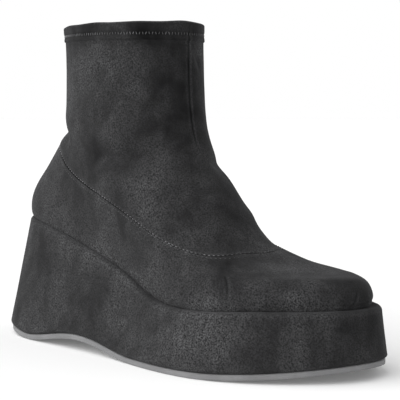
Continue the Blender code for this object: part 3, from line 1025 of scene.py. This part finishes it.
class BOOT_OT_shaft(bpy.types.Operator):
    """Builds the stretch suede shaft, from the seam to its folded hem"""

    bl_idname = "boot.shaft"
    bl_label = "Stretch Shaft"

    OUTER_ROWS = 66
    HEM_ROWS = 10
    RIM_ROWS = 8
    INNER_ROWS = 22
    EDGE_STEPS = (0.0, 0.012, 0.03, 0.05, 0.075, 0.11, 0.16)
    STEP_SHARES = (0.0, 0.25, 0.6, 0.85, 1.0)

    def execute(self, context):
        last, stitches, colours = settings()
        s = last.s
        turn = last.fine_turns()
        seam = last.seam_ring(turn)
        hem = last.hem_ring()
        per_ring = s.hem_depth / (last.collar_ring - hem)
        start = seam + self.EDGE_STEPS[-1]
        rings = [seam + step for step in self.EDGE_STEPS]
        rings += [start + (hem - start) * i / self.OUTER_ROWS for i in range(1, self.OUTER_ROWS)]
        lift = [0.0] * len(rings)
        ring_step = 0.0009 / per_ring
        for share in self.STEP_SHARES:
            rings.append(np.full(len(turn), hem + ring_step * share))
            lift.append(math.sin(share * math.pi / 2))
        radius = (s.wall + s.hem_step) / 2
        top = last.collar_ring - radius / per_ring
        hem_start = hem + ring_step
        for i in range(1, self.HEM_ROWS + 1):
            rings.append(np.full(len(turn), hem_start + (top - hem_start) * i / self.HEM_ROWS))
            lift.append(1.0)
        rings = np.array(rings)
        lift = np.array(lift)[:, None]
        turns = np.broadcast_to(turn, rings.shape)
        point, around, up, out, tone = dressed(last, stitches, turns, rings)
        gap = seam_gap(last, turns, rings)
        point = point - out * edge_roll(gap, seam_roll(stitches, turns))[..., None]
        point[0] += up[0] * 0.00012
        # the stitches pull the hem in a little, between its edge and its fold
        row = last.collar_ring - stitches.zigzag_drop / per_ring
        pull = np.exp(-(((rings - row) * per_ring / 0.0013) ** 2))
        point = point + out * (s.hem_step * lift * (1 - 0.7 * pull))[..., None]
        # the rolled rim
        level = np.array([0.0, 0.0, 1.0])
        centre = point[-1] - out[-1] * radius
        rim = []
        for i in range(1, self.RIM_ROWS):
            angle = math.pi * i / self.RIM_ROWS
            rim.append(centre + radius * (math.cos(angle) * out[-1] + math.sin(angle) * level))
        outer = np.concatenate([point, np.array(rim)])
        # the soft edge isn't quite level, and stands up a little beside the front seam
        swell = 0.0007 * np.exp(-(((turn - 172) / 14) ** 2)) + 0.0006 * waviness(outer[-1], 0.018, 5.2)
        above = np.clip((outer[..., 2] - (s.collar_height - s.hem_depth)) / s.hem_depth, 0.0, 1.0)
        outer[..., 2] += above**2 * swell
        inner_rings = seam + 0.02 + np.linspace(0.0, 1.0, self.INNER_ROWS)[:, None] * (top - seam - 0.02)
        inner_turns = np.broadcast_to(turn, inner_rings.shape)
        inner, _, _, inward, _ = dressed(last, stitches, inner_turns, inner_rings)
        inner = inner - s.wall * inward
        inner[-1] = centre - radius * out[-1]
        inner[-1, :, 2] += swell
        # painted shade in a band just below the proud hem and in the dip where the zigzag pulls it in; the hem itself
        # darker all round
        painted_shade_below_hem = np.exp(-(((rings - hem + 0.10) / 0.10) ** 2))
        tone_and_painted_light = tone + seam_painted_light(turns, gap) - 0.17 * lift - 0.10 * painted_shade_below_hem - 0.10 * pull * lift
        tone_and_painted_light = np.concatenate([tone_and_painted_light, np.full((len(rim), len(turn)), 0.02)])
        suede = suede_material("charcoal_suede", colours, 1.0)
        lining = cloth_material("black_lining", colours.lining, 1100.0)
        piece = wall_piece("suede_shaft", outer, inner, tone_and_painted_light, [suede, lining])
        settle(piece, "shaft")
        return {"FINISHED"}


def block_piece(name, rows, tone_and_painted_light, materials):
    """A solid from its rings, closed at both ends."""
    rows = np.array(rows)
    count, columns = rows.shape[:2]
    faces = tube_faces(count, columns, False)
    faces = [face[::-1] for face in faces]
    faces += cap_faces(0, columns, True)
    faces += cap_faces((count - 1) * columns, columns, False)
    piece = make_mesh(name, rows.reshape(-1, 3), faces, {"tone_and_painted_light": tone_and_painted_light})
    add_slots(piece, materials)
    return piece


class BOOT_OT_wedge(bpy.types.Operator):
    """Builds the wedge, wrapped in suede from the rounded welt to the turned-in lower edge"""

    bl_idname = "boot.wedge"
    bl_label = "Wedge"

    ROUND_ROWS = 10
    SIDE_ROWS = 34
    LOWER_ROWS = 7

    def execute(self, context):
        last, stitches, colours = settings()
        s = last.s
        foot = last.outline()
        welt = last.spread(foot[:, 0], s.welt_side, s.welt_side, s.welt_toe)
        top = foot.copy()
        top[:, 2] = last.footbed(foot[:, 0])
        rows = [top]
        for i in range(self.ROUND_ROWS + 1):
            turn = math.pi / 2 * i / self.ROUND_ROWS
            ring = last.grown(foot, welt - s.welt_round * (1 - math.sin(turn)))
            ring[:, 2] = last.footbed(ring[:, 0]) - s.welt_round * (1 - math.cos(turn))
            rows.append(ring)
        edge = rows[-1]
        low = last.widest()
        for i in range(1, self.SIDE_ROWS + 1):
            rows.append(edge + (low - edge) * i / self.SIDE_ROWS)
        for i in range(1, self.LOWER_ROWS + 1):
            turn = math.pi / 2 * i / self.LOWER_ROWS
            ring = last.grown(low, -s.lower_round * (1 - math.cos(turn)))
            ring[:, 2] = last.tread(ring[:, 0]) + s.outsole_thickness + s.lower_round * (1 - math.sin(turn))
            rows.append(ring)
        rows = np.array(rows)
        fade = np.clip((len(rows) - np.arange(len(rows))) / self.SIDE_ROWS, 0.0, 1.0)[:, None]
        rows[..., 2] -= last.drop(rows[..., 0]) * fade
        rows -= last.shift
        uneven = waviness(rows, 0.30 * s.ball_width, 12.4) * 0.0022 * s.ball_width
        uneven[0] = 0.0
        uneven[-2:] = 0.0
        around = np.roll(rows, -1, axis=1) - np.roll(rows, 1, axis=1)
        out = np.cross(around, np.array([0.0, 0.0, 1.0]))
        rows = rows + unit(out) * uneven[..., None]
        # lighter along the rounded top edge and near the lower edge, and painted shade in the crease under the upper
        place = np.arange(len(rows))[:, None] / len(rows)
        tone_and_painted_light = 0.10 * np.exp(-(((place - 0.16) / 0.05) ** 2)) + 0.06 * np.exp(-(((place - 0.9) / 0.05) ** 2))
        tone_and_painted_light = tone_and_painted_light - 0.12 * (place < 0.03) + nap_tone_and_painted_light(rows)
        suede = suede_material("charcoal_suede", colours, 1.0)
        piece = block_piece("suede_wedge", rows, tone_and_painted_light, [suede])
        settle(piece, "wedge")
        return {"FINISHED"}


class BOOT_OT_outsole(bpy.types.Operator):
    """Builds the thin rubber outsole with a fine groove round its underside"""

    bl_idname = "boot.outsole"
    bl_label = "Outsole"

    EDGE_ROUND = 0.0005
    GROOVE_IN = 0.006
    GROOVE_WIDTH = 0.0012
    GROOVE_DEPTH = 0.0006

    def execute(self, context):
        last, stitches, colours = settings()
        s = last.s
        ring = last.grown(last.widest(), -s.outsole_inset)
        high = s.outsole_thickness - 0.0003
        soft = self.EDGE_ROUND
        half = self.GROOVE_WIDTH / 2
        # distance inward, and height above the tread
        profile = [(0.004, high), (soft, high), (0.0, high - soft), (0.0, soft), (0.3 * soft, 0.3 * soft), (soft, 0.0)]
        profile += [(self.GROOVE_IN - half, 0.0), (self.GROOVE_IN - 0.5 * half, self.GROOVE_DEPTH)]
        profile += [(self.GROOVE_IN + 0.5 * half, self.GROOVE_DEPTH), (self.GROOVE_IN + half, 0.0)]
        rows = []
        for inward, height in profile:
            row = last.grown(ring, -inward)
            row[:, 2] = last.tread(row[:, 0]) + height
            rows.append(row)
        rows = np.array(rows) - last.shift
        piece = block_piece("rubber_outsole", rows, np.zeros(rows.shape[:2]), [rubber_material(colours)])
        piece.data.set_sharp_from_angle(angle=math.radians(40))
        settle(piece, "outsole")
        return {"FINISHED"}


class BOOT_OT_insole(bpy.types.Operator):
    """Builds the padded insole that lies on the wedge"""

    bl_idname = "boot.insole"
    bl_label = "Insole"

    EDGE_ROWS = 6
    CROWN_ROWS = 6

    def execute(self, context):
        last, stitches, colours = settings()
        s = last.s
        ring = last.grown(last.outline(), -(s.wall + s.insole_ease))
        rows = []
        radius = s.insole_thickness / 2
        for i in range(self.EDGE_ROWS + 1):
            turn = math.pi / 2 * i / self.EDGE_ROWS
            row = last.grown(ring, -radius * (1 - math.sin(turn)))
            row[:, 2] = last.footbed(row[:, 0]) + s.insole_thickness - radius * (1 - math.cos(turn))
            rows.append(row)
        base = ring.copy()
        base[:, 2] = last.footbed(base[:, 0]) + 0.0003
        rows.append(base)
        rows = np.array(rows) - last.shift
        cloth = cloth_material("insole_cloth", colours.insole, 800.0)
        piece = block_piece("insole_pad", rows, np.zeros(rows.shape[:2]), [cloth])
        settle(piece, "insole")
        return {"FINISHED"}


def even_places(last, along, pitch):
    """Turns spaced evenly by length along a closed line given by its ring at each turn."""
    turn = np.linspace(0.0, 360.0, 1441)
    points = last.skin(turn, along(turn))
    length = np.concatenate([[0.0], np.cumsum(np.linalg.norm(np.diff(points, axis=0), axis=1))])
    count = round(length[-1] / pitch)
    return np.interp(np.arange(count) * length[-1] / count, length, turn)


def stitch_row(name, centres, along, out, length, radius, material):
    """A row of short threads, each a rounded bead drawn out along its direction."""
    sides = 8
    rings = 7
    shape = []
    for i in range(1, rings):
        angle = math.pi * i / rings
        for j in range(sides):
            side = 2 * math.pi * j / sides
            shape.append((-math.cos(angle), math.sin(angle) * math.cos(side), math.sin(angle) * math.sin(side)))
    shape = np.array([(-1.0, 0.0, 0.0), *shape, (1.0, 0.0, 0.0)])
    across = unit(np.cross(out, along))
    out = unit(np.cross(along, across))
    thick = np.broadcast_to(radius, (len(centres),))[:, None]
    size = np.stack([length / 2 * along, thick * across, thick * out], axis=1)
    # the ends dip into the cloth
    points = np.einsum("pk,nkd->npd", shape, size)
    points -= out[:, None] * (thick * 1.3 * shape[:, 0] ** 4)[..., None]
    points += centres[:, None]
    faces = []
    count = len(shape)
    for n in range(len(centres)):
        base = n * count
        for j in range(sides):
            k = (j + 1) % sides
            faces.append((base, base + 1 + k, base + 1 + j))
            for i in range(rings - 2):
                low = base + 1 + i * sides
                faces.append((low + j, low + k, low + sides + k, low + sides + j))
            end = base + 1 + (rings - 2) * sides
            faces.append((end + j, end + k, base + count - 1))
    piece = make_mesh(name, points.reshape(-1, 3), faces)
    add_slots(piece, [material])
    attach(piece, BODY)
    return piece


class BOOT_OT_stitches(bpy.types.Operator):
    """Sews the rows beside the seam and the zigzag of the hem"""

    bl_idname = "boot.stitches"
    bl_label = "Stitches"

    def seam_row(self, last, stitches, name, distance, length, radius, material, slot):
        """One row beside the seam, at a distance up the skin from it."""

        def along(turn):
            seam = last.seam_ring(turn)
            reach = seam_gap(last, np.asarray(turn, float), seam + math.copysign(0.1, distance))
            return seam + 0.1 * distance / reach

        turn = even_places(last, along, stitches.pitch)
        ring = along(turn)
        point, around, up, out, _ = dressed(last, stitches, turn, ring)
        ahead = last.skin(turn + 0.5, along(turn + 0.5))
        behind = last.skin(turn - 0.5, along(turn - 0.5))
        sink = edge_roll(seam_gap(last, turn, ring), seam_roll(stitches, turn))
        radius = radius * (1 - 0.55 * over_instep(turn))
        centre = point + out * (0.35 * radius - sink)[:, None]
        return stitch_row(name, centre, unit(ahead - behind), out, length, radius, material)

    def hem_row(self, last, stitches, material):
        """The zigzag under the collar."""
        s = last.s
        per_ring = s.hem_depth / (last.collar_ring - last.hem_ring())
        middle = last.collar_ring - stitches.zigzag_drop / per_ring
        turn = even_places(last, lambda turn: np.full_like(turn, middle), stitches.zigzag_pitch)
        side = np.where(np.arange(len(turn)) % 2 == 0, 1.0, -1.0)
        point, around, up, out, _ = dressed(last, stitches, turn, np.full_like(turn, middle))
        slant = unit(around * (0.3 * side)[:, None] + up)
        length = stitches.zigzag_width
        hem_out = 0.3 * s.hem_step + 0.6 * stitches.thread
        centre = point + out * hem_out
        radius = 0.8 * stitches.thread
        return stitch_row("hem_zigzag", centre, slant, out, length, radius, material)

    def execute(self, context):
        last, stitches, colours = settings()
        thread = thread_material(colours)
        above = ("seam_stitches_above", stitches.above, stitches.length, stitches.thread)
        below = ("seam_stitches_below", -stitches.below, 0.8 * stitches.length, 0.30 * stitches.thread)
        self.seam_row(last, stitches, *above, thread, "stretch_suede")
        self.seam_row(last, stitches, *below, thread, "suede")
        self.hem_row(last, stitches, thread)
        return {"FINISHED"}


class BOOT_OT_stage(bpy.types.Operator):
    """Sets the floor, the lights and the camera"""

    bl_idname = "boot.stage"
    bl_label = "Stage"

    FLOOR_REACH = 40.0
    SENSOR = 36.0
    # what the camera sees of the floor beside its own light
    GLOW = 0.14

    def floor(self, colours):
        """A pale floor."""
        reach = self.FLOOR_REACH
        corners = [(-reach, -reach, 0.0), (reach, -reach, 0.0), (reach, reach, 0.0), (-reach, reach, 0.0)]
        made, tree, shader = new_material("pale_floor", 0.9)
        shader.inputs["Base Color"].default_value = (*colours.floor, 1.0)
        shader.inputs["Specular IOR Level"].default_value = 0.0
        shader.inputs["Emission Color"].default_value = (1.0, 1.0, 1.0, 1.0)
        path = tree.nodes.new("ShaderNodeLightPath")
        glow = reckon(tree, "MULTIPLY", path.outputs["Is Camera Ray"], self.GLOW)
        tree.links.new(glow, shader.inputs["Emission Strength"])
        piece = make_mesh("floor", corners, [(0, 1, 2, 3)])
        add_slots(piece, [made])

    def camera(self, stage):
        """The camera at the photograph's angle."""
        data = bpy.data.cameras.new("camera")
        data.sensor_width = self.SENSOR
        data.lens = stage.lens
        data.clip_start = 0.01
        made = bpy.data.objects.new("camera", data)
        bpy.context.scene.collection.objects.link(made)
        away = Vector((math.sin(stage.azimuth), -math.cos(stage.azimuth), 0.0))
        right = Vector((math.cos(stage.azimuth), math.sin(stage.azimuth), 0.0))
        made.location = away * stage.distance + right * stage.aside + Vector((0.0, 0.0, stage.height))
        look = -away * math.cos(stage.pitch) - Vector((0.0, 0.0, math.sin(stage.pitch)))
        made.rotation_euler = look.to_track_quat("-Z", "Y").to_euler()
        bpy.context.scene.camera = made
        return away, right

    def light(self, name, strength, softness, away, side, turn, height):
        """A broad soft light from far off, turned from the camera to one side and raised."""
        light = bpy.data.lights.new(name, "SUN")
        light.energy = strength
        light.angle = softness
        made = bpy.data.objects.new(name, light)
        bpy.context.scene.collection.objects.link(made)
        level = away * math.cos(turn) + side * math.sin(turn)
        toward = level * math.cos(height) + Vector((0.0, 0.0, math.sin(height)))
        made.rotation_euler = toward.to_track_quat("Z", "Y").to_euler()

    def world(self, stage):
        """Even light all round, and a white backdrop for the camera."""
        world = bpy.data.worlds.new("studio")
        world.use_nodes = True
        tree = world.node_tree
        ground = tree.nodes["Background"]
        ground.inputs["Color"].default_value = (1.0, 1.0, 1.0, 1.0)
        path = tree.nodes.new("ShaderNodeLightPath")
        seen = reckon(tree, "MULTIPLY", path.outputs["Is Camera Ray"], stage.backdrop - stage.surround)
        tree.links.new(reckon(tree, "ADD", seen, stage.surround), ground.inputs["Strength"])
        return world

    def execute(self, context):
        scene = context.scene
        stage = scene.boot_stage
        away, right = self.camera(stage)
        self.floor(scene.boot_colours)
        self.light("key_light", stage.key, stage.softness, away, -right, stage.key_side, stage.key_height)
        self.light("back_light", stage.back, stage.softness, away, right, stage.back_side, stage.back_height)
        scene.world = self.world(stage)
        scene.view_settings.view_transform = "Standard"
        return {"FINISHED"}


class BOOT_PT_panel(bpy.types.Panel):
    """Lists the boot's pieces and their sizes"""

    bl_idname = "BOOT_PT_panel"
    bl_label = "Suede Wedge Boot"
    bl_space_type = "VIEW_3D"
    bl_region_type = "UI"
    bl_category = "Boot"

    def draw(self, context):
        layout = self.layout
        for piece in PIECES:
            layout.operator(piece.bl_idname)
        for group in (context.scene.boot_sizes, context.scene.boot_stitches):
            column = layout.column(align=True)
            for label in group.__annotations__:
                column.prop(group, label)
        for group in (context.scene.boot_colours, context.scene.boot_stage):
            column = layout.column()
            for label in group.__annotations__:
                column.prop(group, label)


PIECES = (
    BOOT_OT_stage,
    BOOT_OT_outsole,
    BOOT_OT_wedge,
    BOOT_OT_insole,
    BOOT_OT_foot_upper,
    BOOT_OT_shaft,
    BOOT_OT_stitches,
)
GROUPS = (BootSizes, StitchSizes, BootColours, StageSizes)


def register():
    for kind in (*GROUPS, *PIECES, BOOT_PT_panel):
        bpy.utils.register_class(kind)
    bpy.types.Scene.boot_sizes = PointerProperty(type=BootSizes)
    bpy.types.Scene.boot_stitches = PointerProperty(type=StitchSizes)
    bpy.types.Scene.boot_colours = PointerProperty(type=BootColours)
    bpy.types.Scene.boot_stage = PointerProperty(type=StageSizes)


def unregister():
    del bpy.types.Scene.boot_stage
    del bpy.types.Scene.boot_colours
    del bpy.types.Scene.boot_stitches
    del bpy.types.Scene.boot_sizes
    for kind in reversed((*GROUPS, *PIECES, BOOT_PT_panel)):
        bpy.utils.unregister_class(kind)


def main():
    register()
    bpy.ops.boot.stage()
    bpy.ops.boot.outsole()
    bpy.ops.boot.wedge()
    bpy.ops.boot.insole()
    bpy.ops.boot.foot_upper()
    bpy.ops.boot.shaft()
    bpy.ops.boot.stitches()


if __name__ == "__main__":
    main()
